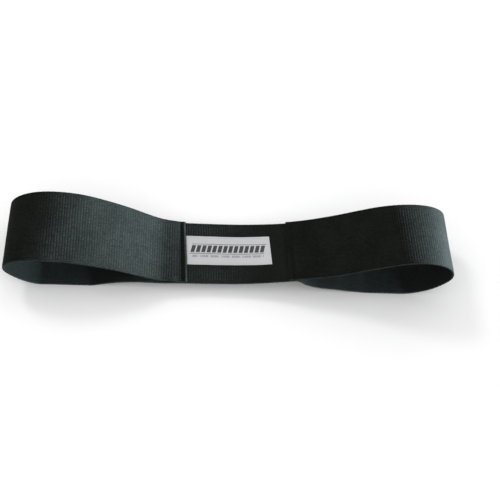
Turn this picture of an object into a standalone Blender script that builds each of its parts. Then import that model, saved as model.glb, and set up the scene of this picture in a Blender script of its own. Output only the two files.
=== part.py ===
"""Stretching strap: one length of 2 inch elastic webbing with a sewn loop at each end.

The strap lies on its back. +X runs along it, +Y across the webbing and +Z up, away from the surface.
The webbing's single-layer middle carries a woven label on its upper face. At each end the webbing goes on as the
loop's back strand, turns round the outer bend, comes back as the front strand, and its end is sewn down
on the upper face of the middle. Both loops stand open, as stiff new webbing does.
Every strip is ruled: it has one path in the XZ plane, and a tilt that says how much it rises across its width.
"""

import math

import bmesh
import bpy
import numpy as np
from mathutils import Matrix, Vector

# ---- driving dimensions, in metres ----
WIDTH = 0.0508  # 2 inch webbing
THICKNESS = 0.0016  # of one layer
GAP = 0.0003  # clearance between neighbouring solids
STATION = 0.0032  # spacing of the sections along a strip
LEAD = 0.0025  # from a hinge line to a strand's first free section
HINGE_RISE = 0.00015  # hinge line above the sewn end's upper face

LABEL_WIDTH = 0.0239
LABEL_THICKNESS = 0.0004
LABEL_Y = 0.0018  # the label's centre line, a little off the webbing's
LABEL_X = (-0.0383, 0.0217)
LABEL_SKEW = 0.060  # how far the label's ends lean along X for each metre across

LEFT_END_X = -0.0396  # cut edge of the webbing's left end, on top of the middle
RIGHT_END_X = 0.0334
LEFT_END_SKEW = 0.045  # how far the left end's cut edge and its stitches lean along X for each metre across
LEFT_FOLD_X = -0.0502  # the hinge lines, just outside the seams
RIGHT_FOLD_X = 0.0402
LEFT_ROWS = (-0.0427, -0.0437)  # the two close stitch rows of each seam
RIGHT_ROWS = (0.0364, 0.0374)
LEFT_BEND_X = -0.130  # where the loops' outer bends begin
RIGHT_BEND_X = 0.106

THREAD_RADIUS = 0.00022
STITCH = 0.0032  # stitch length
ROW_MARGIN = 0.0028  # from a stitch row's end to the selvedge

X_CENTRE = -0.00743  # middle of the strap's length, which becomes X = 0

# The middle's upper face: x, z and tilt, left to right, in millimetres.
MIDDLE = [(-56, 8.0, 0.0), (-40, 8.3, -0.015), (-20, 8.5, -0.025), (0, 9.1, -0.035), (15, 10.7, -0.05), (28, 12.9, -0.065), (36, 14.5, -0.065), (44, 16.4, -0.06)]
# Each loop's outer face, from the seam along the back strand to the flat on which it rests.
LEFT_BACK = [(-46, 6.5, -0.01), (-56, 6.4, 0.0), (-68, 6.8, 0.0), (-82, 6.0, 0.0), (-96, 2.9, 0.0), (-108, 0, 0.0)]
LEFT_FLAT_END = -141
# Then round the outer bend and back along the front strand to the seam.
LEFT_FRONT = [(-141, 0, 0.0), (-151, 3.3, 0.0), (-160, 11.2, 0.005), (-165.2, 20.5, 0.015), (-162.9, 30.0, 0.045), (-154.5, 36.5, 0.10), (-142, 39.6, 0.15), (-128, 39.5, 0.175), (-110, 36.2, 0.165), (-95, 30.8, 0.13), (-80, 23.8, 0.09), (-66, 16.0, 0.05), (-55, 11.0, 0.012), (-46, 10.0, -0.01)]
RIGHT_BACK = [(35, 12.6, -0.065), (40.5, 13.5, -0.062), (43.5, 10.9, -0.052), (46.5, 8.5, -0.045), (50.5, 6.7, -0.035), (56, 5.2, -0.02), (62, 4.2, -0.01), (69, 3.1, -0.005), (77, 1.6, 0.0), (85, 0.6, 0.0), (94, 0, 0.0)]
RIGHT_FLAT_END = 119
RIGHT_FRONT = [(119, 0, 0.0), (129, 2.2, 0.0), (139, 8.0, 0.0), (147, 17.0, 0.0), (150.6, 26.5, -0.01), (147.5, 36.0, -0.03), (139, 43.0, -0.05), (127, 46.0, -0.06), (113, 45.0, -0.05), (97, 40.0, -0.02), (80, 32.2, -0.012), (62, 23.9, -0.015), (44, 18.4, -0.06), (36, 16.4, -0.065)]

BLACK = (0.022, 0.026, 0.027, 1.0)
THREAD_BLACK = (0.012, 0.013, 0.014, 1.0)
LABEL_WHITE = (0.78, 0.78, 0.80, 1.0)


def clear_scene():
    for ob in list(bpy.data.objects):
        bpy.data.objects.remove(ob, do_unlink=True)


def material(name, colour, roughness, metallic=0.0):
    mat = bpy.data.materials.new(name)
    mat.use_nodes = True
    bsdf = mat.node_tree.nodes["Principled BSDF"]
    bsdf.inputs["Base Color"].default_value = colour
    bsdf.inputs["Roughness"].default_value = roughness
    bsdf.inputs["Metallic"].default_value = metallic
    mat.diffuse_color = colour
    return mat


def spline(points, start=None, end=None):
    """A smooth cubic through the points (x, z, tilt), closely sampled. start and end are directions to leave and arrive in."""
    p = np.array(points, float)
    p[:, 0] = (p[:, 0] * 0.001) - X_CENTRE
    p[:, 1] *= 0.001
    s = np.concatenate([[0], np.cumsum(np.hypot(*np.diff(p[:, :2], axis=0).T))])
    n = len(p)
    h = np.diff(s)
    a = np.zeros((n, n))
    b = np.zeros((n, 3))
    for i in range(1, n - 1):
        a[i, i - 1], a[i, i], a[i, i + 1] = h[i], 2 * (h[i - 1] + h[i]), h[i - 1]
        b[i] = 3 * (h[i] * (p[i] - p[i - 1]) / h[i - 1] + h[i - 1] * (p[i + 1] - p[i]) / h[i])
    for row, other, step, way in ((0, 1, (p[1] - p[0]) / h[0], start), (n - 1, n - 2, (p[-1] - p[-2]) / h[-1], end)):
        a[row, row] = 1
        if way is None:
            a[row, other], b[row] = 0.5, 1.5 * step
        else:
            b[row] = (way[0], way[1], 0.0)
    m = np.linalg.solve(a, b)
    out = []
    for i in range(n - 1):
        for k in range(40):
            t = k / 40
            out.append((2 * t**3 - 3 * t**2 + 1) * p[i] + (t**3 - 2 * t**2 + t) * h[i] * m[i] + (3 * t**2 - 2 * t**3) * p[i + 1] + (t**3 - t**2) * h[i] * m[i + 1])
    out.append(p[-1])
    return np.array(out)


class Path:
    """A path sampled by arc length, which can be cut where it crosses a given x."""

    def __init__(self, points):
        self.p = points
        self.s = np.concatenate([[0], np.cumsum(np.hypot(*np.diff(points[:, :2], axis=0).T))])

    def at(self, s):
        return np.array([np.interp(s, self.s, self.p[:, k]) for k in range(3)])

    def cut(self, x, nearest):
        """Arc length where the path crosses x, on the crossing nearest to arc length nearest."""
        x = x - X_CENTRE
        d = self.p[:, 0] - x
        best = None
        for i in np.flatnonzero(d[:-1] * d[1:] <= 0):
            t = d[i] / (d[i] - d[i + 1]) if d[i] != d[i + 1] else 0.0
            s = self.s[i] + t * (self.s[i + 1] - self.s[i])
            if best is None or abs(s - nearest) < abs(best - nearest):
                best = s
        return best

    def stations(self, s0, s1, spacing=STATION):
        n = max(2, int(math.ceil(abs(s1 - s0) / spacing)) + 1)
        return [self.frame(s) for s in np.linspace(s0, s1, n)]

    def frame(self, s):
        """Point, tilt and unit normal, which is to the left of the path's direction."""
        e = 0.0002
        a, b = self.at(max(0.0, s - e)), self.at(min(self.s[-1], s + e))
        d = b[:2] - a[:2]
        d /= np.hypot(*d)
        x, z, tilt = self.at(s)
        return x, z, tilt, -d[1], d[0]


def solid(name, sections, mat):
    """One closed body lofted through sections, which are loops of the same number of points."""
    bm = bmesh.new()
    rings = [[bm.verts.new(v) for v in ring] for ring in sections]
    n = len(rings[0])
    for a, b in zip(rings, rings[1:]):
        for i in range(n):
            j = (i + 1) % n
            bm.faces.new((a[i], a[j], b[j], b[i]))
    bm.faces.new(rings[0])
    bm.faces.new(reversed(rings[-1]))
    bmesh.ops.recalc_face_normals(bm, faces=bm.faces)
    if bm.calc_volume(signed=True) < 0:
        bmesh.ops.reverse_faces(bm, faces=bm.faces)
    mesh = bpy.data.meshes.new(name)
    bm.to_mesh(mesh)
    bm.free()
    mesh.materials.append(mat)
    ob = bpy.data.objects.new(name, mesh)
    bpy.context.scene.collection.objects.link(ob)
    return ob


def strip(name, stations, mat, low=0.0, high=THICKNESS, y0=-WIDTH / 2, y1=WIDTH / 2, skews=(0.0, 0.0)):
    """A strip along the stations. low and high are its faces' distances from the path along the normal. skews are its lean at its first and last section."""
    sections = []
    for k, (x, z, tilt, nx, nz) in enumerate(stations):
        skew = skews[0] + (skews[1] - skews[0]) * k / (len(stations) - 1)
        ring = []
        for y, d in ((y0, low), (y1, low), (y1, high), (y0, high)):
            ring.append((x + nx * d - skew * y, y, z + nz * d + tilt * y))
        sections.append(ring)
    return solid(name, sections, mat)


def square_end(middle, s, height, way):
    """A strand's section at its hinge line, height above the middle's upper face, square to the middle."""
    x, z, tilt, nx, nz = middle.frame(s)
    return x + nx * height, z + nz * height, tilt, way * nx, way * nz


def thread(name, points, mat):
    """A sewing thread laid along points: a curve with a round section and filled caps."""
    curve = bpy.data.curves.new(name, "CURVE")
    curve.dimensions = "3D"
    curve.bevel_depth = THREAD_RADIUS
    curve.bevel_resolution = 1
    curve.resolution_u = 1
    curve.render_resolution_u = 0
    curve.use_fill_caps = True
    spl = curve.splines.new("POLY")
    spl.points.add(len(points) - 1)
    for p, co in zip(spl.points, points):
        p.co = (*co, 1.0)
    curve.materials.append(mat)
    ob = bpy.data.objects.new(name, curve)
    bpy.context.scene.collection.objects.link(ob)
    return ob


def on_face(path, x, y, height):
    """The point of a strip's face above its path at x and y, height off the path along the normal."""
    px, z, tilt, nx, nz = path.frame(path.cut(x, 0.0))
    return (px + nx * height, y, z + nz * height + tilt * y)


def seam_thread(name, path, rows, height, skew, mat):
    """Two parallel rows across the webbing, joined by a turn at one selvedge: one thread."""
    y1 = WIDTH / 2 - ROW_MARGIN
    count = int(round(2 * y1 / STITCH))
    ys = np.linspace(-y1, y1, count + 1)
    points = [on_face(path, rows[0] - skew * y, y, height) for y in ys]
    points += [on_face(path, rows[0] + (rows[1] - rows[0]) * t - skew * y1, y1 + 0.0005 * math.sin(math.pi * t), height) for t in (0.25, 0.5, 0.75)]
    points += [on_face(path, rows[1] - skew * y, y, height) for y in ys[::-1]]
    return thread(name, points, mat)


def build():
    clear_scene()
    webbing = material("black_webbing", BLACK, 0.82)
    black_thread = material("black_thread", THREAD_BLACK, 0.6)
    white = material("white_label", LABEL_WHITE, 0.7)
    white_thread = material("white_thread", LABEL_WHITE, 0.6)

    middle = Path(spline(MIDDLE))
    middle_len = middle.s[-1]

    left = Path(np.concatenate([spline(LEFT_BACK, end=(-1, 0)), spline(LEFT_FRONT, start=(-1, 0))]))
    right = Path(np.concatenate([spline(RIGHT_BACK, end=(1, 0)), spline(RIGHT_FRONT, start=(1, 0))]))

    # The middle: one layer from hinge line to hinge line, its upper face on the path.
    s0 = middle.cut(LEFT_FOLD_X, 0.0) + GAP / 2
    s1 = middle.cut(RIGHT_FOLD_X, middle_len) - GAP / 2
    strip("centre_webbing", middle.stations(s0, s1), webbing, -THICKNESS, 0.0)

    # The webbing's two ends, sewn down on the middle.
    top = GAP + THICKNESS
    ends = (("left", LEFT_END_X, s0, LEFT_ROWS, LEFT_END_SKEW), ("right", RIGHT_END_X, s1, RIGHT_ROWS, 0.0))
    for side, x, s_fold, rows, skew in ends:
        s_end = middle.cut(x, s_fold)
        strip(f"{side}_sewn_end", middle.stations(s_fold, s_end, 0.002), webbing, GAP, top, skews=(0.0, skew))
        seam_thread(f"{side}_seam_needle_thread", middle, rows, top + GAP + THREAD_RADIUS, skew, black_thread)
        seam_thread(f"{side}_seam_bobbin_thread", middle, rows, -(THICKNESS + GAP + THREAD_RADIUS), skew, black_thread)

    # The label and the thread round its three free sides.
    la, lb = (middle.cut(x, middle_len / 2) for x in LABEL_X)
    ly0, ly1 = LABEL_Y - LABEL_WIDTH / 2, LABEL_Y + LABEL_WIDTH / 2
    strip("label", middle.stations(la, lb), white, GAP, GAP + LABEL_THICKNESS, ly0, ly1, (LEFT_END_SKEW, LABEL_SKEW))
    h = GAP + LABEL_THICKNESS + GAP + THREAD_RADIUS
    inset = 0.0013
    xs = np.linspace(LABEL_X[0] + 2 * inset, LABEL_X[1] - inset, 20)
    ys = np.linspace(ly1 - inset, ly0 + inset, 9)
    route = [(x, ly1 - inset) for x in xs] + [(xs[-1], y) for y in ys[1:-1]] + [(x, ly0 + inset) for x in xs[::-1]]
    thread("label_thread", [(p[0] - LABEL_SKEW * y, p[1], p[2]) for x, y in route for p in [on_face(middle, x, y, h)]], white_thread)

    # The loops. Each path runs from the seam along the back strand, round the bend and back along the front strand.
    # The strip's inner face lies THICKNESS to the inside of the path.
    for side, path, fold, bend, sign, order in (("left", left, LEFT_FOLD_X, LEFT_BEND_X, -1, 1), ("right", right, RIGHT_FOLD_X, RIGHT_BEND_X, 1, -1)):
        total = path.s[-1]
        a = path.cut(fold + sign * LEAD, 0.0)
        b = path.cut(bend, 0.0)
        c = path.cut(bend, total * 0.6)
        d = path.cut(fold + sign * LEAD, total)
        low, high = (-THICKNESS, 0.0) if order > 0 else (0.0, THICKNESS)
        # At the hinge line both strands end square to the middle, a gap away from it.
        s_hinge = middle.cut(fold, 0.0) + sign * GAP / 2
        first = square_end(middle, s_hinge, -THICKNESS, sign)
        last = square_end(middle, s_hinge, top, -sign)
        back = strip(f"{side}_back_strand", [first] + path.stations(a, b - GAP / 2), webbing, low, high)
        tip = strip(f"{side}_outer_bend", path.stations(b + GAP / 2, c - GAP / 2, 0.0028), webbing, low, high)
        front = strip(f"{side}_front_strand", path.stations(c + GAP / 2, d) + [last], webbing, low, high)
        # The loop turns about the upper face at its hinge line, and its outer bend slides along X as the strands stretch.
        hinge = Vector(on_face(middle, fold, 0.0, top + HINGE_RISE))
        axis = bpy.data.objects.new(f"{side}_fold_axis", None)
        axis.empty_display_size = WIDTH / 2
        axis.location = hinge
        bpy.context.scene.collection.objects.link(axis)
        slide = Vector((bend - X_CENTRE, 0.0, hinge.z))
        for ob, origin in ((back, hinge), (front, hinge), (tip, slide)):
            ob.data.transform(Matrix.Translation(-origin))
            ob.parent = axis
            ob.location = origin - hinge


build()
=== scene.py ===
import math

import bpy
import numpy as np
from mathutils import Matrix, Vector


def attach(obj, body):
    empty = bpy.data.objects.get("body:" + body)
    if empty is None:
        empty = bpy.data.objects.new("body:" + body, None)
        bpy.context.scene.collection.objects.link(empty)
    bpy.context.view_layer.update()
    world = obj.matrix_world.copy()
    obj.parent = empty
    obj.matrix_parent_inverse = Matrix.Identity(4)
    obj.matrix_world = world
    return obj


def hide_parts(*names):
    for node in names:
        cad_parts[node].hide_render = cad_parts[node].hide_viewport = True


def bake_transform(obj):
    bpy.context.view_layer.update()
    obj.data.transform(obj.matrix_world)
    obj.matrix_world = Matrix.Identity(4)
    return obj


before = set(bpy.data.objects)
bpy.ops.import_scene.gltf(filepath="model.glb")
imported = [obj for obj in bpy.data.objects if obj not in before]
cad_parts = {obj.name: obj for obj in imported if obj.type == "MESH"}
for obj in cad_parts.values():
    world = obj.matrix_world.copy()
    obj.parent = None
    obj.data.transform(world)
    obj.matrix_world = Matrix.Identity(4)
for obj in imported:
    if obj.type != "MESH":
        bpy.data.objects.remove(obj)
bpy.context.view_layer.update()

# ---------------------------------------------------------------- the strap's design, as in the CAD source
WIDTH = 0.0508
THICKNESS = 0.0016
GAP = 0.0003
TOP = GAP + THICKNESS  # upper face of a sewn-down end, above the middle's upper face
LABEL_WIDTH = 0.0239
LABEL_Y = 0.0018
LABEL_X = (-0.0383, 0.0217)
LABEL_SKEW = 0.060
LEFT_END_X, RIGHT_END_X = -0.0396, 0.0334
LEFT_END_SKEW = 0.045
LEFT_FOLD_X, RIGHT_FOLD_X = -0.0502, 0.0402
LEFT_ROWS, RIGHT_ROWS = (-0.0427, -0.0437), (0.0364, 0.0374)
LEAD = 0.0025
ROW_MARGIN = 0.0028
X_CENTRE = -0.00743
MIDDLE = [(-56, 8.0, 0.0), (-40, 8.3, -0.015), (-20, 8.5, -0.025), (0, 9.1, -0.035), (15, 10.7, -0.05), (28, 12.9, -0.065), (36, 14.5, -0.065), (44, 16.4, -0.06)]
LEFT_BACK = [(-46, 6.5, -0.01), (-56, 6.4, 0.0), (-68, 6.8, 0.0), (-82, 6.0, 0.0), (-96, 2.9, 0.0), (-108, 0, 0.0)]
LEFT_FRONT = [(-141, 0, 0.0), (-151, 3.3, 0.0), (-160, 11.2, 0.005), (-165.2, 20.5, 0.015), (-162.9, 30.0, 0.045), (-154.5, 36.5, 0.10), (-142, 39.6, 0.15), (-128, 39.5, 0.175), (-110, 36.2, 0.165), (-95, 30.8, 0.13), (-80, 23.8, 0.09), (-66, 16.1, 0.05), (-55, 11.7, 0.012), (-46, 10.0, -0.01)]
RIGHT_BACK = [(35, 12.6, -0.065), (40.5, 13.5, -0.062), (43.5, 10.9, -0.052), (46.5, 8.5, -0.045), (50.5, 6.7, -0.035), (56, 5.2, -0.02), (62, 4.2, -0.01), (69, 3.1, -0.005), (77, 1.6, 0.0), (85, 0.6, 0.0), (94, 0, 0.0)]
RIGHT_FRONT = [(119, 0, 0.0), (129, 2.2, 0.0), (139, 8.0, 0.0), (147, 17.0, 0.0), (150.6, 26.5, -0.01), (147.5, 36.0, -0.03), (139, 43.0, -0.05), (127, 46.0, -0.06), (113, 45.0, -0.05), (97, 40.0, -0.02), (80, 32.2, -0.012), (62, 23.9, -0.015), (44, 18.4, -0.06), (36, 16.4, -0.065)]

# ---------------------------------------------------------------- what the looks add
RIB = 0.00182  # pitch of the ribs across the webbing
RIB_STEPS = 6  # sections for each rib
RIB_DEPTH = 0.000045
SELVEDGE = 0.0030  # width of the bound edge on each side
START_X = -0.0414  # where the left loop's back layer takes over from the middle, hidden under the sewn end
LEFT_CUT_X, RIGHT_CUT_X = -0.0690, 0.0600  # where a seam piece hands over to its loop
SPLIT_X = 0.0347  # where the right loop's back layer takes over from the middle, hidden under the right sewn end
THREAD = 0.00023  # radius of the sewing thread
STITCH = 0.0029


def solve_spline(p, s, start=None, end=None, per=40):
    n = len(p)
    h = np.diff(s)
    a = np.zeros((n, n))
    b = np.zeros((n, 3))
    for i in range(1, n - 1):
        a[i, i - 1], a[i, i], a[i, i + 1] = h[i], 2 * (h[i - 1] + h[i]), h[i - 1]
        b[i] = 3 * (h[i] * (p[i] - p[i - 1]) / h[i - 1] + h[i - 1] * (p[i + 1] - p[i]) / h[i])
    for row, other, step, way in ((0, 1, (p[1] - p[0]) / h[0], start), (n - 1, n - 2, (p[-1] - p[-2]) / h[-1], end)):
        a[row, row] = 1
        if way is None:
            a[row, other], b[row] = 0.5, 1.5 * step
        else:
            b[row] = (way[0], way[1], 0.0)
    m = np.linalg.solve(a, b)
    t = (np.arange(per) / per)[:, None]
    out = [(2 * t**3 - 3 * t**2 + 1) * p[i] + (t**3 - 2 * t**2 + t) * h[i] * m[i] + (3 * t**2 - 2 * t**3) * p[i + 1] + (t**3 - t**2) * h[i] * m[i + 1] for i in range(n - 1)]
    return np.vstack(out + [p[-1:]])


def chord(p):
    return np.concatenate([[0], np.cumsum(np.hypot(*np.diff(p[:, :2], axis=0).T))])


def spline(points, start=None, end=None):
    p = np.array(points, float)
    p[:, 0] = p[:, 0] * 0.001 - X_CENTRE
    p[:, 1] *= 0.001
    return solve_spline(p, chord(p), start, end)


class Path:
    def __init__(self, points):
        keep = np.concatenate([[True], np.hypot(*np.diff(points[:, :2], axis=0).T) > 1e-9])
        self.p = points[keep]
        self.s = chord(self.p)

    def at(self, s):
        return np.stack([np.interp(s, self.s, self.p[:, k]) for k in range(3)], -1)

    def cut(self, x, nearest):
        x = x - X_CENTRE
        d = self.p[:, 0] - x
        hits = [self.s[i] + (d[i] / (d[i] - d[i + 1]) if d[i] != d[i + 1] else 0.0) * (self.s[i + 1] - self.s[i]) for i in np.flatnonzero(d[:-1] * d[1:] <= 0)]
        return min(hits, key=lambda s: abs(s - nearest))

    def frame(self, s, e=0.0004):
        """Points (x, z), tilts and unit normals to the left of the path's direction, for an array of arc lengths. Past its ends the path goes straight on."""
        s = np.atleast_1d(np.asarray(s, float))
        c = np.clip(s, 0, self.s[-1])
        a, b = np.clip(c - e, 0, self.s[-1]), np.clip(c + e, 0, self.s[-1])
        d = (self.at(b) - self.at(a))[:, :2]
        d /= np.hypot(*d.T)[:, None]
        q = self.at(c)
        xz = q[:, :2] + d * (s - c)[:, None]
        return xz, q[:, 2], np.stack([-d[:, 1], d[:, 0]], -1), d


middle = Path(spline(MIDDLE))
loops = {"left": Path(np.concatenate([spline(LEFT_BACK, end=(-1, 0)), spline(LEFT_FRONT, start=(-1, 0))])), "right": Path(np.concatenate([spline(RIGHT_BACK, end=(1, 0)), spline(RIGHT_FRONT, start=(1, 0))]))}


def over_middle(s, height):
    """Points (x, z, tilt) at height above the middle's upper face."""
    xz, tilt, n, _ = middle.frame(s)
    return np.column_stack([xz + n * np.reshape(height, (-1, 1)), tilt])


def strap_path(side):
    """The webbing's outer face on one side of START_X, as one path: along the middle's underside, round the loop, and back over the seam to its cut end."""
    fold, end, sign = (LEFT_FOLD_X, LEFT_END_X, -1) if side == "left" else (RIGHT_FOLD_X, RIGHT_END_X, 1)
    s0 = middle.cut(START_X, 0.02)
    sh = middle.cut(fold, middle.s[-1] / 2)
    se = middle.cut(end, middle.s[-1] / 2)
    loop = loops[side]
    lead = 0.008 if side == "left" else 0.004
    a, d = loop.cut(fold + sign * lead, 0.0), loop.cut(fold + sign * lead, loop.s[-1])
    stop = sh - sign * 0.001
    first = over_middle(np.arange(s0, stop, sign * 0.0016) if abs(stop - s0) > 0.0016 else np.array([s0]), -THICKNESS)
    n = int(abs(d - a) / 0.0016)
    mid = loop.at(np.linspace(a, d, n))
    sl = np.linspace(stop, se, max(4, int(abs(se - stop) / 0.0016)))
    # Past the stitches the two layers part at once, so the strand already climbs before the fold.
    row = middle.cut(sum(LEFT_ROWS if side == "left" else RIGHT_ROWS) / 2, middle.s[-1] / 2)
    lift = (0.19 if side == "left" else 0.02) * np.clip(sign * (sl - row) - 0.0012, 0, 1)
    last = over_middle(sl, TOP + lift)
    p = np.vstack([first, mid, last])
    smooth = solve_spline(p, chord(p), per=10)
    return Path(smooth)


straps = {side: strap_path(side) for side in ("left", "right")}


# ---------------------------------------------------------------- small deterministic noise
def lattice(ix, iy, seed):
    h = np.sin(ix * 127.1 + iy * 311.7 + seed * 74.7) * 43758.5453
    return h - np.floor(h)


def noise(x, y, seed=0.0):
    """Smooth value noise from -1 to 1."""
    ix, iy = np.floor(x), np.floor(y)
    fx, fy = x - ix, y - iy
    fx, fy = fx * fx * (3 - 2 * fx), fy * fy * (3 - 2 * fy)
    a, b = lattice(ix, iy, seed), lattice(ix + 1, iy, seed)
    c, d = lattice(ix, iy + 1, seed), lattice(ix + 1, iy + 1, seed)
    return 2 * ((a + (b - a) * fx) * (1 - fy) + (c + (d - c) * fx) * fy) - 1


def smooth01(x):
    x = np.clip(x, 0, 1)
    return x * x * (3 - 2 * x)


# ---------------------------------------------------------------- meshes
def mesh_object(name, verts, quads, tris=(), attributes=(), smooth=True):
    verts = np.asarray(verts, np.float32)
    quads = np.asarray(quads, np.int32).reshape(-1, 4)
    tris = np.asarray(tris, np.int32).reshape(-1, 3)
    corners = np.concatenate([quads.ravel(), tris.ravel()]).astype(np.int32)
    totals = np.concatenate([np.full(len(quads), 4), np.full(len(tris), 3)]).astype(np.int32)
    starts = np.concatenate([[0], np.cumsum(totals)[:-1]]).astype(np.int32)
    me = bpy.data.meshes.new(name)
    me.vertices.add(len(verts))
    me.vertices.foreach_set("co", verts.ravel())
    me.loops.add(len(corners))
    me.loops.foreach_set("vertex_index", corners)
    me.polygons.add(len(totals))
    me.polygons.foreach_set("loop_start", starts)
    me.polygons.foreach_set("loop_total", totals)
    me.update(calc_edges=True)
    if me.validate():
        raise RuntimeError(f"{name} had bad faces")
    for key, values in dict(attributes).items():
        values = np.asarray(values, np.float32)
        kind = "FLOAT" if values.ndim == 1 else "FLOAT_VECTOR"
        me.attributes.new(key, kind, "POINT").data.foreach_set("value" if values.ndim == 1 else "vector", values.ravel())
    if smooth:
        me.shade_smooth()
        me.set_sharp_from_angle(angle=math.radians(42))  # the ends stay crisp, so pieces cut from one strip meet without a line
    ob = bpy.data.objects.new(name, me)
    bpy.context.scene.collection.objects.link(ob)
    return ob


def outline():
    """The webbing's cross-section as (y, depth, side): depth 0 is the outer face and 1 the inner, side says which face a point is on. It runs once round, anticlockwise seen along the path."""
    half = WIDTH / 2
    r = 0.00062  # how far the rounded selvedge reaches in
    edge = [0.0009, 0.0012, 0.0015, 0.0018, 0.0021, 0.0024, 0.0028, 0.0034]
    inner = list(np.linspace(-half + 0.0052, half - 0.0052, 19))
    ys = [-half + r] + [-half + e for e in edge] + inner + [half - e for e in edge[::-1]] + [half - r]
    ring = [(y, 0.0, 0) for y in ys]
    arc = [math.radians(a) for a in (60, 30, 0, -30, -60)]
    ring += [(half - r + r * math.cos(a), 0.5 - 0.5 * math.sin(a), 2) for a in arc]
    ring += [(y, 1.0, 1) for y in ys[::-1]]
    ring += [(-half + r - r * math.cos(a), 0.5 + 0.5 * math.sin(a), 2) for a in arc]
    return np.array([q[:2] for q in ring]), np.array([q[2] for q in ring])


RING, RING_SIDE = outline()


def selvedge_depth(y):
    """Grooves that run along the webbing between the bound edge's cords."""
    e = WIDTH / 2 - np.abs(y)
    g = np.zeros_like(y)
    for at in (0.0012, 0.0024):
        g = g + np.exp(-(((e - at) / 0.00028) ** 2))
    return g * 0.00016


def webbing(name, side, s0, s1, inward, base=0.0, edge_fn=None, face_fn=None):
    """A piece of the strap from arc length s0 to s1 of its path. inward is +1 where the inner face lies along the normal.
    edge_fn(s, y) moves a point along the path, and face_fn(s, y, depth) along the normal, both in metres."""
    path = straps[side]
    ds = RIB / RIB_STEPS
    k0, k1 = math.ceil(s0 / ds + 1e-6), math.floor(s1 / ds - 1e-6)
    s = np.concatenate([[s0], np.arange(k0, k1 + 1) * ds, [s1]])
    if s[1] - s[0] < 0.2 * ds:
        s = np.delete(s, 1)
    if s[-1] - s[-2] < 0.2 * ds:
        s = np.delete(s, -2)
    ny, depth = RING[:, 0], RING[:, 1]
    S, Y = np.meshgrid(s, ny, indexing="ij")
    D = np.broadcast_to(depth, S.shape)
    inside = WIDTH / 2 - np.abs(Y)
    body = smooth01((inside - 0.0020) / 0.0012)
    # Ribs, a little wavy, that die out in the bound edges.
    wave = 0.13 * noise(S / 0.006, Y / 0.004, 3.0) + 0.16 * noise(S / 0.03, Y / 0.014, 5.0)
    rib = np.abs(np.cos(math.pi * (S / RIB + wave))) ** 0.75
    # Some floats were beaten up tighter than others, so a rib's shoulder comes and goes along it.
    beat = np.clip(0.92 + 1.25 * noise(np.floor(S / RIB) * 0.73, Y / 0.0018, 15.0), 0.05, 2.0)
    cut_in = RIB_DEPTH * (1 - rib) * beat * (0.35 + 0.65 * body) + selvedge_depth(Y)
    cut_in *= np.where(RING_SIDE == 2, 0.35, 1.0)
    d = THICKNESS * D + np.where(D < 0.5, cut_in, -cut_in) * np.where(np.abs(D - 0.5) < 0.01, 0, 1)
    # The bound edge is a touch thinner than the body of the webbing.
    thin = 0.00010 * (1 - smooth01(inside / 0.0030))
    d = d + np.where(D < 0.5, thin, -thin)
    yy = Y + np.where(np.abs(Y) > WIDTH / 2 - 0.0004, np.sign(Y), 0) * (-0.00006 * (0.5 + 0.5 * np.cos(2 * math.pi * S / (2 * RIB)))) + 0.00010 * noise(S / 0.018, Y * 0, 9.0)
    yy = np.clip(yy, -WIDTH / 2, WIDTH / 2)
    along = np.zeros_like(S) if edge_fn is None else edge_fn(S, Y)
    if face_fn is not None:
        d = d + face_fn(S, Y, D)
    xz, tilt, n, _ = path.frame((S + along).ravel())
    d = d.ravel()[:, None] * inward
    P = np.empty((S.size, 3))
    P[:, 0] = xz[:, 0] + n[:, 0] * d[:, 0]
    P[:, 1] = yy.ravel()
    P[:, 2] = xz[:, 1] + n[:, 1] * d[:, 0] + tilt * yy.ravel()
    m, k = len(s), len(ny)
    i, j = np.meshgrid(np.arange(m - 1), np.arange(k), indexing="ij")
    a, b = i * k + j, i * k + (j + 1) % k
    quads = np.stack([a, b, b + k, a + k], -1).reshape(-1, 4)
    # Caps: each end is closed across the section, from the outer face to the inner.
    cq, ct = cap_faces(k)
    last = (m - 1) * k
    quads = np.vstack([quads, cq, cq[:, ::-1] + last])
    tris = np.vstack([ct, ct[:, ::-1] + last])
    if signed_volume(P, quads) < 0:
        quads, tris = quads[:, ::-1], tris[:, ::-1]
    uv = np.column_stack([(S.ravel() + base) * 1000, Y.ravel() * 1000, D.ravel()])
    return mesh_object(name, P, quads, tris, {"strap": uv})


def cap_faces(k):
    """Faces across the cross-section at a piece's first section, pairing the outer face's points with the inner face's."""
    n_face = int((RING_SIDE == 0).sum())
    n_arc = (k - 2 * n_face) // 2
    opposite = [n_face + n_arc + (n_face - 1 - q) for q in range(n_face)]
    quads = [(q + 1, opposite[q + 1], opposite[q], q) for q in range(n_face - 1)]
    a = list(range(n_face, n_face + n_arc))
    b = list(range(k - n_arc, k))
    quads += [(a[0], a[4], opposite[-1], n_face - 1), (a[1], a[3], a[4], a[0])]
    quads += [(0, opposite[0], b[0], b[4]), (b[4], b[0], b[1], b[3])]
    tris = [(a[1], a[2], a[3]), (b[3], b[1], b[2])]
    return np.array(quads, np.int32), np.array(tris, np.int32)


def signed_volume(P, quads):
    a, b, c, d = (P[quads[:, q]] for q in range(4))
    return float((np.einsum("ij,ij->i", a, np.cross(b, c)) + np.einsum("ij,ij->i", a, np.cross(c, d))).sum() / 6)


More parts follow.
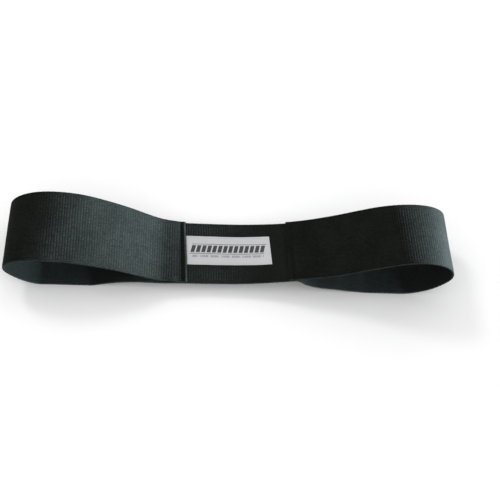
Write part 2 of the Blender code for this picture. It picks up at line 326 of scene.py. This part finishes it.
def capsules(name, runs, radius, dip=0.35, sides=8, rings=9):
    """Stitches: each run is (start, end, up, bow), a thread that rises out of one needle hole and goes down the next."""
    P, quads, tris = [], [], []
    base = 0
    uv = []
    for p0, p1, up, bow in runs:
        p0, p1, up = (np.array(q, float) for q in (p0, p1, up))
        t_dir = (p1 - p0) / np.linalg.norm(p1 - p0)
        side = np.cross(t_dir, up)
        side /= np.linalg.norm(side)
        up = np.cross(side, t_dir)
        for q in range(rings):
            t = q / (rings - 1)
            r = radius * max(0.25, math.sin(math.pi * min(max(0.14 + 0.72 * t, 0), 1)) ** 0.55)
            c = p0 + (p1 - p0) * t + up * (radius * (-dip + bow * math.sin(math.pi * t) ** 0.6))
            for w in range(sides):
                a = 2 * math.pi * w / sides
                P.append(c + side * (r * math.cos(a)) + up * (r * 0.85 * math.sin(a)))
                uv.append((t * np.linalg.norm(p1 - p0) * 1000, w / sides, 0))
        for q in range(rings - 1):
            for w in range(sides):
                x = (w + 1) % sides
                quads.append((base + q * sides + w, base + q * sides + x, base + (q + 1) * sides + x, base + (q + 1) * sides + w))
        e = base + (rings - 1) * sides
        for w in range(1, sides - 1):
            tris.append((base, base + w + 1, base + w))
            tris.append((e, e + w, e + w + 1))
        base += rings * sides
    P, quads, tris = np.array(P), np.array(quads), np.array(tris)
    if signed_volume(P, quads) < 0:
        quads, tris = quads[:, ::-1], tris[:, ::-1]
    return mesh_object(name, P, quads, tris, {"strap": np.array(uv)})


# ---------------------------------------------------------------- the webbing, in seven pieces cut from one strip
L, R = straps["left"], straps["right"]
L_A, L_B, L_END = L.cut(LEFT_CUT_X, 0.03), L.cut(LEFT_CUT_X, L.s[-1] - 0.03), L.s[-1]
R_A, R_B, R_END = R.cut(RIGHT_CUT_X, 0.10), R.cut(RIGHT_CUT_X, R.s[-1] - 0.03), R.s[-1]
R_C = R.cut(SPLIT_X, 0.08)
LEFT_ROW, RIGHT_ROW = sum(LEFT_ROWS) / 2, sum(RIGHT_ROWS) / 2
L_ROW_TOP = L.cut(LEFT_ROW, L_END)  # where the stitch rows cross each layer, at the webbing's centre line
R_ROW_TOP = R.cut(RIGHT_ROW, R_END)
L_ROW_LOW = L.cut(LEFT_ROW, 0.0)
R_ROW_LOW = R.cut(RIGHT_ROW, 0.08)


def groove(S, Y, at, width, depth):
    """The webbing pulled in along a stitch row, a little deeper at each needle hole, and easing off at the selvedges."""
    fade = smooth01((WIDTH / 2 - 0.0012 - np.abs(Y)) / 0.0016)
    holes = 0.82 + 0.18 * np.cos(2 * math.pi * Y / STITCH)
    return depth * holes * (0.35 + 0.65 * fade) * np.exp(-np.abs((S - at) / width) ** 2.6)


def sewn_face(row, end, other):
    """Outer face of a sewn-down end: a groove along the stitches, then a low ridge that rolls over at the cut end."""

    def fn(S, Y, D):
        e = np.clip(end - S, 0, 1)
        g = groove(S, Y, row + 0.00018, 0.00100, 0.00058) * (D < 0.5)
        roll = 1 - smooth01(e / 0.0020)
        g = g + roll**1.6 * THICKNESS * np.where(D < 0.45, 0.30, np.where(D > 0.55, -0.06, 0.08))
        ridge = -0.00010 * np.exp(-(((e - 0.0016) / 0.0009) ** 2)) * (D < 0.5)
        return g + ridge

    return fn


def end_skew(end, skew, direction):
    def fn(S, Y):
        return -direction * skew * Y * (1 - smooth01((end - S - 0.002) / 0.010))

    return fn


def row_skew(at, skew, direction):
    """As end_skew, for a lower layer whose stitches cross at arc length at."""
    return lambda Y: at - direction * skew * Y


def ease(S, a, b, over=0.012):
    return smooth01((S - a) / over) * smooth01((b - S) / over)


def loose(a, b, flat0, flat1, seed):
    """How a free strand strays from a perfect sweep, both faces together and always to the inside of the loop; nothing where it lies flat."""

    def fn(S, Y, D):
        off = ease(S, a, b) * (1 - smooth01((S - flat0 + 0.008) / 0.008) * smooth01((flat1 + 0.008 - S) / 0.008))
        return off * 0.00022 * (1 + noise(S / 0.030, Y / 0.028, seed)) / 1.0

    return fn


def low_groove(at, skew, direction):
    def fn(S, Y, D):
        return groove(S, Y, at - direction * skew * Y, 0.0011, 0.00042) * (D < 0.5)

    return fn


L_FLAT = (L.cut(-0.108, 0.07), L.cut(-0.141, 0.10))
R_FLAT = (R.cut(0.094, 0.14), R.cut(0.119, 0.16))
left_seam_back = webbing("left_seam_back_webbing", "left", 0.0, L_A, -1, face_fn=low_groove(L_ROW_LOW, LEFT_END_SKEW, -1))
left_loop = webbing("left_loop_webbing", "left", L_A, L_B, -1, face_fn=loose(L_A, L_B, *L_FLAT, 2.0))
left_seam_front = webbing("left_seam_front_webbing", "left", L_B, L_END, -1, edge_fn=end_skew(L_END, LEFT_END_SKEW, 1), face_fn=sewn_face(L_ROW_TOP, L_END, 0))
centre_strip = webbing("centre_strip_webbing", "right", 0.0, R_C, 1)
right_seam_back = webbing("right_seam_back_webbing", "right", R_C, R_A, 1, face_fn=low_groove(R_ROW_LOW, 0.0, 1))
right_loop = webbing("right_loop_webbing", "right", R_A, R_B, 1, face_fn=loose(R_A, R_B, *R_FLAT, 4.0))
right_seam_front = webbing("right_seam_front_webbing", "right", R_B, R_END, 1, face_fn=sewn_face(R_ROW_TOP, R_END, 0))

# ---------------------------------------------------------------- seam stitches
def middle_point(x, y, height, skew=0.0):
    """A point above the middle's upper face, and the face's normal there."""
    s = middle.cut(x, middle.s[-1] / 2)
    xz, tilt, n, d = middle.frame(s)
    p = np.array([xz[0, 0] + n[0, 0] * height - skew * y, y, xz[0, 1] + n[0, 1] * height + tilt[0] * y])
    return p, np.array([n[0, 0], -tilt[0], n[0, 1]])


def seam_runs(rows, skew, height, flip):
    y1 = WIDTH / 2 - ROW_MARGIN
    count = int(round(2 * y1 / STITCH))
    step = 2 * y1 / count
    runs = []
    for r, x in enumerate(rows):
        for k in range(count):
            a = -y1 + (k + 0.06) * step
            b = -y1 + (k + 0.94) * step
            dx = 0.00007 * (1 if (k + r) % 2 else -1)
            p0, up = middle_point(x + dx, a, height, skew)
            p1, _ = middle_point(x - dx, b, height, skew)
            runs.append((p0, p1, up * (-1 if flip else 1), 0.75))
    # The thread's turn from one row to the other, and the locked-off end.
    for y in (y1 - 0.0001, -y1 + 0.0001):
        p0, up = middle_point(rows[0], y, height, skew)
        p1, _ = middle_point(rows[1], y, height, skew)
        runs.append((p0, p1, up * (-1 if flip else 1), 0.5))
    return runs


# The grooves bring the rows below the face that the CAD's threads clear.
needle_h, bobbin_h = TOP - 0.00034, -THICKNESS + 0.00016
left_needle = capsules("left_seam_needle_stitches", seam_runs(LEFT_ROWS, LEFT_END_SKEW, needle_h, False), THREAD)
left_bobbin = capsules("left_seam_bobbin_stitches", seam_runs(LEFT_ROWS, LEFT_END_SKEW, bobbin_h, True), THREAD)
right_needle = capsules("right_seam_needle_stitches", seam_runs(RIGHT_ROWS, 0.0, needle_h, False), THREAD)
right_bobbin = capsules("right_seam_bobbin_stitches", seam_runs(RIGHT_ROWS, 0.0, bobbin_h, True), THREAD)


# ---------------------------------------------------------------- the label
LABEL_TUCK = 0.0022  # how far its left end goes in under the sewn-down end, before the stitches


def label_mesh():
    x0, x1 = LABEL_X[0] - LABEL_TUCK, LABEL_X[1]
    nx, ny = 150, 56
    s0, s1 = middle.cut(x0, 0.02), middle.cut(x1, 0.06)
    rim = 0.00035
    xs = np.concatenate([np.linspace(0, 1, nx)])
    ys = np.linspace(-LABEL_WIDTH / 2, LABEL_WIDTH / 2, ny)
    S, Y = np.meshgrid(s0 + (s1 - s0) * xs, ys, indexing="ij")
    u = S - s0  # from the tucked end
    v = Y
    edge = np.minimum(np.minimum(LABEL_WIDTH / 2 - np.abs(v), s1 - S), 0.01)
    free = smooth01((u - LABEL_TUCK - 0.0003) / 0.003)
    row = np.exp(-(((edge - 0.0013) / 0.0005) ** 2))
    puff = 0.00010 * smooth01((edge - 0.0014) / 0.004) * (1 + 0.9 * noise(u / 0.011, v / 0.008, 11.0)) - 0.00006 * row
    hem = 0.00010 * (1 - smooth01((s1 - S - 0.0052) / 0.0006))  # the end folded under
    top = 0.00027 + free * (0.00007 + puff + hem) - 0.00012 * (1 - smooth01(edge / rim)) * free
    bottom = np.full_like(top, 0.00002)
    skew = LEFT_END_SKEW + (LABEL_SKEW - LEFT_END_SKEW) * u / (s1 - s0)
    wobble = 0.00008 * noise(u / 0.007, v * 0, 13.0) * free
    P = []
    for h in (top, bottom):
        xz, tilt, n, _ = middle.frame(S.ravel())
        yy = (Y + np.sign(Y) * wobble * (np.abs(Y) / (LABEL_WIDTH / 2)) ** 6).ravel() + LABEL_Y
        hh = h.ravel()
        P.append(np.column_stack([xz[:, 0] + n[:, 0] * hh - skew.ravel() * yy, yy, xz[:, 1] + n[:, 1] * hh + tilt * yy]))
    P = np.vstack(P)
    n_all = nx * ny
    i, j = np.meshgrid(np.arange(nx - 1), np.arange(ny - 1), indexing="ij")
    a = (i * ny + j).ravel()
    upper = np.stack([a, a + ny, a + ny + 1, a + 1], -1)
    lower = upper[:, ::-1] + n_all
    rims = []
    for q in range(nx - 1):
        for jj, flip in ((0, False), (ny - 1, True)):
            p, r = q * ny + jj, (q + 1) * ny + jj
            f = (p, p + n_all, r + n_all, r)
            rims.append(f[::-1] if flip else f)
    for q in range(ny - 1):
        for ii, flip in ((0, True), (nx - 1, False)):
            p, r = ii * ny + q, ii * ny + q + 1
            f = (p, p + n_all, r + n_all, r)
            rims.append(f[::-1] if flip else f)
    quads = np.vstack([upper, lower, np.array(rims)])
    if signed_volume(P, quads) < 0:
        quads = quads[:, ::-1]
    uv = np.column_stack([np.tile(((u - LABEL_TUCK) * 1000).ravel(), 2), np.tile((v * 1000).ravel(), 2), np.repeat([0.0, 1.0], n_all)])
    return mesh_object("woven_label", P, quads, (), {"strap": uv})


label = label_mesh()


def label_runs():
    inset, step = 0.0013, 0.0021
    runs = []
    ly0, ly1 = LABEL_Y - LABEL_WIDTH / 2 + inset, LABEL_Y + LABEL_WIDTH / 2 - inset
    x0, x1 = LABEL_X[0] + 0.0008, LABEL_X[1] - inset

    def at(x, y):
        f = (x - LABEL_X[0]) / (LABEL_X[1] - LABEL_X[0])
        return middle_point(x, y, 0.00036, LEFT_END_SKEW + (LABEL_SKEW - LEFT_END_SKEW) * f)

    count = int((x1 - x0) / step)
    for y in (ly0, ly1):
        for k in range(count):
            a, b = x1 - (k + 0.10) * (x1 - x0) / count, x1 - (k + 0.90) * (x1 - x0) / count
            (p0, up), (p1, _) = at(a, y), at(b, y)
            runs.append((p0, p1, up, 0.5))
    count = int((ly1 - ly0) / step)
    for k in range(count):
        a, b = ly0 + (k + 0.10) * (ly1 - ly0) / count, ly0 + (k + 0.90) * (ly1 - ly0) / count
        (p0, up), (p1, _) = at(x1, a), at(x1, b)
        runs.append((p0, p1, up, 0.5))
    return runs


label_stitches = capsules("label_stitches", label_runs(), 0.00013, dip=0.3, sides=6, rings=7)

# ---------------------------------------------------------------- materials
class Shader:
    """A small helper for writing a material as expressions: each call adds a node and gives back its output."""

    def __init__(self, name):
        self.mat = bpy.data.materials.new(name)
        self.mat.use_nodes = True
        self.tree = self.mat.node_tree
        self.bsdf = next(n for n in self.tree.nodes if n.type == "BSDF_PRINCIPLED")

    def plug(self, socket, value):
        if isinstance(value, bpy.types.NodeSocket):
            self.tree.links.new(value, socket)
        elif value is not None:
            socket.default_value = value

    def m(self, op, a, b=None, c=None):
        n = self.tree.nodes.new("ShaderNodeMath")
        n.operation = op
        for k, value in enumerate((a, b, c)):
            self.plug(n.inputs[k], value)
        return n.outputs[0]

    def mix(self, fac, a, b):
        n = self.tree.nodes.new("ShaderNodeMix")
        n.data_type = "RGBA"
        self.plug(n.inputs[0], fac)
        for socket, value in ((n.inputs[6], a), (n.inputs[7], b)):
            self.plug(socket, (*value, 1.0) if isinstance(value, tuple) else value)
        return n.outputs[2]

    def strap(self):
        n = self.tree.nodes.new("ShaderNodeAttribute")
        n.attribute_name = "strap"
        s = self.tree.nodes.new("ShaderNodeSeparateXYZ")
        self.tree.links.new(n.outputs["Vector"], s.inputs[0])
        return s.outputs

    def xyz(self, x, y, z=0.0):
        n = self.tree.nodes.new("ShaderNodeCombineXYZ")
        for k, value in enumerate((x, y, z)):
            self.plug(n.inputs[k], value)
        return n.outputs[0]

    def noise(self, vector, scale, detail=2.0, roughness=0.5):
        n = self.tree.nodes.new("ShaderNodeTexNoise")
        self.plug(n.inputs["Vector"], vector)
        n.inputs["Scale"].default_value = scale
        n.inputs["Detail"].default_value = detail
        n.inputs["Roughness"].default_value = roughness
        return n.outputs["Fac"]

    def scatter(self, x, y=0.0):
        """A value from 0 to 1 for each whole x and y."""
        n = self.tree.nodes.new("ShaderNodeTexWhiteNoise")
        n.noise_dimensions = "2D"
        self.tree.links.new(self.xyz(x, y), n.inputs["Vector"])
        return n.outputs["Value"]

    def span(self, x, lo, hi, a=0.0, b=1.0, smooth=True):
        n = self.tree.nodes.new("ShaderNodeMapRange")
        if smooth:
            n.interpolation_type = "SMOOTHSTEP"
        self.plug(n.inputs["Value"], x)
        for k, value in zip(("From Min", "From Max", "To Min", "To Max"), (lo, hi, a, b)):
            n.inputs[k].default_value = value
        return n.outputs["Result"]

    def arch(self, x, power=0.6):
        """1 at the middle of each unit of x, 0 at its ends."""
        s = self.m("SINE", self.m("MULTIPLY", self.m("FRACT", x), math.pi))
        return self.m("POWER", self.m("MAXIMUM", s, 0.0), power)

    def bump(self, height, distance, strength=1.0):
        """height is in millimetres when distance is 0.001."""
        n = self.tree.nodes.new("ShaderNodeBump")
        n.inputs["Strength"].default_value = strength
        n.inputs["Distance"].default_value = distance
        self.plug(n.inputs["Height"], height)
        self.tree.links.new(n.outputs[0], self.bsdf.inputs["Normal"])

    def set(self, **values):
        for key, value in values.items():
            value = (*value, 1.0) if isinstance(value, tuple) and len(value) == 3 else value
            self.plug(self.bsdf.inputs[key.replace("_", " ")], value)

    def on(self, *objects):
        for ob in objects:
            ob.data.materials.clear()
            ob.data.materials.append(self.mat)


def webbing_material(name, painted_lift, top):
    """Black woven elastic: ribs of short floats laid brickwise across the width, and lengthwise cords at both edges.

    The webbing's second face, which is the loops' inside and the middle's labelled face, is painted lighter by
    painted_lift, up to the colour top: painted light, standing in for the light that reaches the loops' shaded insides.
    """
    s = Shader(name)
    u, v, depth = s.strap()
    e = s.m("SUBTRACT", WIDTH * 500, s.m("ABSOLUTE", v))  # mm in from the edge
    body = s.span(e, 2.1, 3.0)
    row = s.m("ADD", s.m("DIVIDE", u, RIB * 1000), 0.5)
    offset = s.m("MULTIPLY", s.scatter(s.m("FLOOR", row)), 3.0)  # each rib's floats start where they like
    drift = s.m("MULTIPLY", s.m("SUBTRACT", s.noise(s.xyz(u, v), 0.35, 1.0), 0.5), 0.9)
    column = s.m("ADD", s.m("ADD", s.m("DIVIDE", v, 0.44), offset), drift)
    pillow = s.m("MULTIPLY", s.m("ADD", 0.25, s.m("MULTIPLY", s.arch(row, 0.55), 0.75)), s.m("ADD", 0.52, s.m("MULTIPLY", s.arch(column, 0.7), 0.48)))
    # The bound edge: cords that run along it, each with a slanting twist.
    twist = s.arch(s.m("ADD", s.m("DIVIDE", u, 0.80), s.m("MULTIPLY", v, 0.65)), 0.7)
    cord = s.arch(s.m("DIVIDE", e, 1.2), 0.5)
    edge = s.m("MULTIPLY", cord, s.m("ADD", 0.45, s.m("MULTIPLY", twist, 0.55)))
    weave = s.m("ADD", s.m("MULTIPLY", pillow, body), s.m("MULTIPLY", edge, s.m("SUBTRACT", 1.0, body)))
    fibre = s.noise(s.xyz(s.m("MULTIPLY", u, 1.6), s.m("MULTIPLY", v, 11.0), depth), 1.0, 3.0, 0.6)
    patch = s.noise(s.xyz(s.m("MULTIPLY", u, 1.0), s.m("MULTIPLY", v, 0.7)), 0.06, 3.0, 0.55)
    grain = s.noise(s.xyz(u, v, depth), 1.7, 2.0, 0.6)
    # A float that sits a little proud here and there, and scattered lint.
    each = s.scatter(s.m("FLOOR", row), s.m("FLOOR", column))
    clump = s.span(s.noise(s.xyz(s.m("MULTIPLY", s.m("FLOOR", row), 7.31), s.m("MULTIPLY", v, 0.62)), 1.0, 1.0), 0.30, 0.70)  # neighbours along a rib go together
    tone = s.m("ADD", 0.66, s.m("ADD", s.m("MULTIPLY", each, 0.34), s.m("MULTIPLY", clump, 0.34)))
    lint = s.span(s.noise(s.xyz(s.m("MULTIPLY", u, 1.0), s.m("MULTIPLY", v, 2.6), depth), 0.9, 4.0, 0.7), 0.735, 0.80)
    level = s.m("MULTIPLY", s.m("ADD", 0.55, s.m("MULTIPLY", weave, 0.40)), tone)
    level = s.m("MULTIPLY", level, s.m("ADD", 0.69, s.m("MULTIPLY", fibre, 0.28)))
    level = s.m("MULTIPLY", level, s.span(patch, 0.30, 0.72, 0.84, 1.18))
    # Painted light: the second face is painted lighter and bluer, for the loops' shaded insides.
    level = s.m("MULTIPLY", level, s.span(depth, 0.55, 0.95, 1.0, painted_lift))
    bright = s.mix(s.span(depth, 0.55, 0.95), (0.0093, 0.0106, 0.0090), top)
    colour = s.mix(s.span(level, 0.0, 1.15), (0.0011, 0.0013, 0.0011), bright)
    colour = s.mix(s.m("MULTIPLY", lint, 0.30), colour, (0.070, 0.075, 0.075))
    s.set(Base_Color=colour, Roughness=s.span(s.m("ADD", s.m("MULTIPLY", weave, 0.5), s.m("MULTIPLY", grain, 0.5)), 0.2, 0.9, 0.86, 0.62), IOR=1.46)
    s.set(Specular_IOR_Level=0.03)
    proud = s.m("ADD", 0.026, s.m("ADD", s.m("MULTIPLY", each, 0.075), s.m("MULTIPLY", clump, 0.120)))
    height = s.m("ADD", s.m("MULTIPLY", weave, proud), s.m("MULTIPLY", fibre, 0.034))
    s.bump(s.m("ADD", height, s.m("MULTIPLY", grain, 0.012)), 0.001, 0.75)
    return s


def thread_material(name, colour, dark, rough, level):
    """Twisted two-ply sewing thread."""
    s = Shader(name)
    u, v, _ = s.strap()
    ply = s.arch(s.m("ADD", s.m("DIVIDE", u, 0.62), s.m("MULTIPLY", v, 2.0)), 0.6)
    fuzz = s.noise(s.xyz(s.m("MULTIPLY", u, 6.0), s.m("MULTIPLY", v, 9.0)), 1.0, 3.0)
    s.set(Base_Color=s.mix(s.m("MULTIPLY", ply, s.span(fuzz, 0.2, 0.8, 0.75, 1.0)), dark, colour), Roughness=s.span(fuzz, 0.3, 0.7, rough - 0.08, rough + 0.08), IOR=1.48)
    s.set(Specular_IOR_Level=level)
    s.bump(s.m("MULTIPLY", ply, 0.06), 0.001, 0.8)
    return s


def label_material():
    """White woven satin with a plain grey figure: a row of leaning blocks between two fine lines, and a broken line below."""
    s = Shader("white_woven_satin")
    u, v, under = s.strap()
    m = s.m
    warp = s.arch(m("DIVIDE", v, 0.24), 0.7)
    pick = s.arch(m("ADD", m("DIVIDE", u, 0.42), m("MULTIPLY", m("MODULO", m("FLOOR", m("DIVIDE", v, 0.24)), 5.0), 0.4)), 0.5)
    weave = m("MULTIPLY", m("ADD", 0.45, m("MULTIPLY", warp, 0.55)), m("ADD", 0.7, m("MULTIPLY", pick, 0.3)))
    patch = s.noise(s.xyz(u, v), 0.09, 3.0)
    fine = s.noise(s.xyz(m("MULTIPLY", u, 4.0), m("MULTIPLY", v, 14.0)), 1.0, 2.0)
    # Edges of the figure follow the threads they are woven with.
    uq = m("MULTIPLY", m("ROUND", m("DIVIDE", u, 0.16)), 0.16)
    vq = m("MULTIPLY", m("ROUND", m("DIVIDE", v, 0.24)), 0.24)

    def between(x, lo, hi, soft=0.05):
        return m("MULTIPLY", s.span(x, lo - soft, lo + soft), s.span(x, hi - soft, hi + soft, 1.0, 0.0))

    lean = m("SUBTRACT", uq, m("MULTIPLY", vq, 0.28))
    place = m("DIVIDE", m("SUBTRACT", lean, 1.6), 3.9)
    cell = m("FRACT", place)
    blocks = m("MULTIPLY", between(cell, 0.07, 0.80, 0.02), between(vq, -1.7, 4.1))
    blocks = m("MULTIPLY", blocks, between(place, 0.0, 14.0, 0.01))
    upper = m("MULTIPLY", between(vq, 4.9, 5.4), between(place, 0.0, 14.0, 0.01))
    lower = m("MULTIPLY", between(vq, -3.1, -2.5), between(place, 0.0, 14.0, 0.01))
    dash = m("MULTIPLY", between(m("FRACT", m("DIVIDE", uq, 0.95)), 0.12, 0.74, 0.02), between(m("FRACT", m("DIVIDE", uq, 7.7)), 0.05, 0.88, 0.01))
    dash = m("MULTIPLY", dash, m("MULTIPLY", between(vq, -5.8, -3.9), between(place, 0.6, 14.0, 0.01)))
    figure = m("MAXIMUM", m("MAXIMUM", blocks, m("MULTIPLY", m("MAXIMUM", upper, lower), 0.85)), m("MULTIPLY", dash, 0.62))
    figure = m("MULTIPLY", figure, m("SUBTRACT", 1.0, under))
    white = s.mix(weave, (0.385, 0.385, 0.401), (0.515, 0.515, 0.534))
    white = s.mix(s.span(patch, 0.35, 0.7, 0.0, 0.35), white, (0.445, 0.445, 0.461))
    grey = s.mix(weave, (0.016, 0.017, 0.020), (0.036, 0.037, 0.042))
    colour = s.mix(m("MULTIPLY", figure, s.span(fine, 0.15, 0.75, 0.94, 1.0)), white, grey)
    s.set(Base_Color=colour, Roughness=s.span(m("ADD", m("MULTIPLY", weave, 0.6), m("MULTIPLY", fine, 0.4)), 0.2, 0.9, 0.62, 0.44), IOR=1.5)
    s.set(Specular_IOR_Level=0.25)
    s.bump(m("ADD", m("ADD", m("MULTIPLY", weave, 0.035), m("MULTIPLY", fine, 0.010)), m("MULTIPLY", figure, 0.020)), 0.001, 0.7)
    return s


webbing_finish = webbing_material("black_elastic_webbing", 1.55, (0.0114, 0.0136, 0.0126))  # the loops' inside is painted lighter and bluer: painted light in their shade
# The middle's upper face gets its own copy, painted 1.34 times lighter: painted light.
middle_finish = webbing_material("black_elastic_webbing_middle", 1.34, (0.0093, 0.0106, 0.0095))
black_thread = thread_material("black_sewing_thread", (0.0075, 0.0085, 0.0082), (0.0015, 0.0018, 0.0017), 0.55, 0.06)
white_thread = thread_material("white_sewing_thread", (0.62, 0.62, 0.64), (0.36, 0.36, 0.375), 0.55, 0.3)
label_finish = label_material()

webbing_pieces = [left_seam_back, left_loop, left_seam_front, centre_strip, right_seam_back, right_loop, right_seam_front]
webbing_finish.on(*webbing_pieces)
middle_finish.on(centre_strip)
black_thread.on(left_needle, left_bobbin, right_needle, right_bobbin)
white_thread.on(label_stitches)
label_finish.on(label)


# ---------------------------------------------------------------- pieces baked in place, and those that follow the centre body
def at(x_raw, z=0.010):
    return (x_raw - X_CENTRE, 0.0, z)


for piece in (left_seam_back, left_seam_front):
    at(-0.0462)
    at(-0.0568)
    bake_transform(piece)
for piece in (right_seam_back, right_seam_front):
    at(0.0386)
    at(0.0484)
    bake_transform(piece)
at(-0.0720)
at(-0.1250)
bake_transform(left_loop)
at(0.0625)
at(0.1080)
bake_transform(right_loop)
for piece in (centre_strip, label, label_stitches, left_needle, left_bobbin, right_needle, right_bobbin):
    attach(piece, "centre")

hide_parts("centre_webbing")
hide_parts("left_sewn_end")
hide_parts("right_sewn_end")
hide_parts("left_front_strand", "left_back_strand", "left_outer_bend")
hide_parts("right_front_strand", "right_back_strand", "right_outer_bend")
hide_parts("label")
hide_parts("label_thread")
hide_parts("left_seam_needle_thread")
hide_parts("left_seam_bobbin_thread")
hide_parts("right_seam_needle_thread")
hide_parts("right_seam_bobbin_thread")

# ---------------------------------------------------------------- floor, lights and camera
WORLD = 1.0
scene = bpy.context.scene
me = bpy.data.meshes.new("studio_floor")
me.from_pydata([(-9, -9, -0.0001), (9, -9, -0.0001), (9, 9, -0.0001), (-9, 9, -0.0001)], [], [(0, 1, 2, 3)])
floor = bpy.data.objects.new("studio_floor", me)
scene.collection.objects.link(floor)
paper = Shader("pale_paper")
coords = paper.tree.nodes.new("ShaderNodeTexCoord")
tooth = paper.noise(coords.outputs["Object"], 900.0, 2.0)
paper.set(Base_Color=paper.mix(tooth, (0.925, 0.925, 0.925), (0.945, 0.945, 0.945)), Roughness=0.9)
paper.set(Specular_IOR_Level=0.0)
paper.on(floor)

world = bpy.data.worlds.new("studio")
world.use_nodes = True
background = next(n for n in world.node_tree.nodes if n.type == "BACKGROUND")
background.inputs["Color"].default_value = (1.0, 1.0, 1.0, 1.0)
background.inputs["Strength"].default_value = WORLD
scene.world = world
scene.view_settings.view_transform = "Standard"
scene.view_settings.look = "None"
scene.view_settings.exposure = 0.0
scene.view_settings.gamma = 1.0


def soft_light(name, toward, distance, size, power, colour=(1.0, 1.0, 1.0)):
    toward = Vector(toward).normalized()
    data = bpy.data.lights.new(name, "AREA")
    data.shape = "ELLIPSE"
    data.size, data.size_y = size
    data.energy = power
    data.color = colour
    ob = bpy.data.objects.new(name, data)
    scene.collection.objects.link(ob)
    ob.matrix_world = Matrix.Translation(toward * distance) @ toward.to_track_quat("Z", "Y").to_matrix().to_4x4()
    return ob


soft_light("soft_overhead", (-0.60, 0.62, 0.80), 3.0, (0.70, 0.70), 18.5)
# Low lights skim over the webbing from the right. The paper, the label and its stitches take none of them.
# The side light stands for one that clears the right loop, so outside that loop it isn't shadowed by it: the first of the
# pair lights everything else past the right loop, and the second lights the right loop itself, with its own shadows.
tint = (0.81, 0.97, 1.10)
side = soft_light("soft_side", (0.99, 0.12, 0.050), 3.6, (0.50, 0.40), 1720.0, tint)
side_right = soft_light("soft_side_right", (0.99, 0.12, 0.215), 3.6, (0.50, 0.40), 1650.0, tint)
front = soft_light("soft_front", (0.66, -0.75, 0.075), 3.6, (3.20, 0.46), 590.0, tint)


def leave_out(name, objects):
    group = bpy.data.collections.new(name)
    for ob in objects:
        group.objects.link(ob)
    return group


matt = [floor, label, label_stitches]
right_pieces = [right_seam_back, right_loop, right_seam_front]
others = [ob for ob in webbing_pieces if ob not in right_pieces] + [left_needle, left_bobbin, right_needle, right_bobbin]
links = [
    (side, "receiver_collection", matt + right_pieces + [right_needle]),
    (side, "blocker_collection", right_pieces + [centre_strip]),
    (side_right, "receiver_collection", matt + others),
    (front, "receiver_collection", matt),
]
for lamp, kind, objects in links:
    group = leave_out(lamp.name + "_" + kind, objects)
    setattr(lamp.light_linking, kind, group)
    for entry in group.collection_objects:
        entry.light_linking.link_state = "EXCLUDE"

camera_data = bpy.data.cameras.new("camera")
camera = bpy.data.objects.new("camera", camera_data)
scene.collection.objects.link(camera)
scene.camera = camera
camera_data.sensor_width = 36.0
camera_data.lens = 57.87
camera_data.clip_start = 0.01
camera_data.clip_end = 50.0
forward = Vector((0.09858, 0.49389, -0.86392)).normalized()
right = Vector((0.99464, -0.02161, 0.10115))
right = (right - forward * right.dot(forward)).normalized()
up = right.cross(forward)
m3 = Matrix((right, up, -forward)).transposed()
camera.matrix_world = Matrix.Translation(Vector((-0.04397, -0.28815, 0.51844))) @ m3.to_4x4()
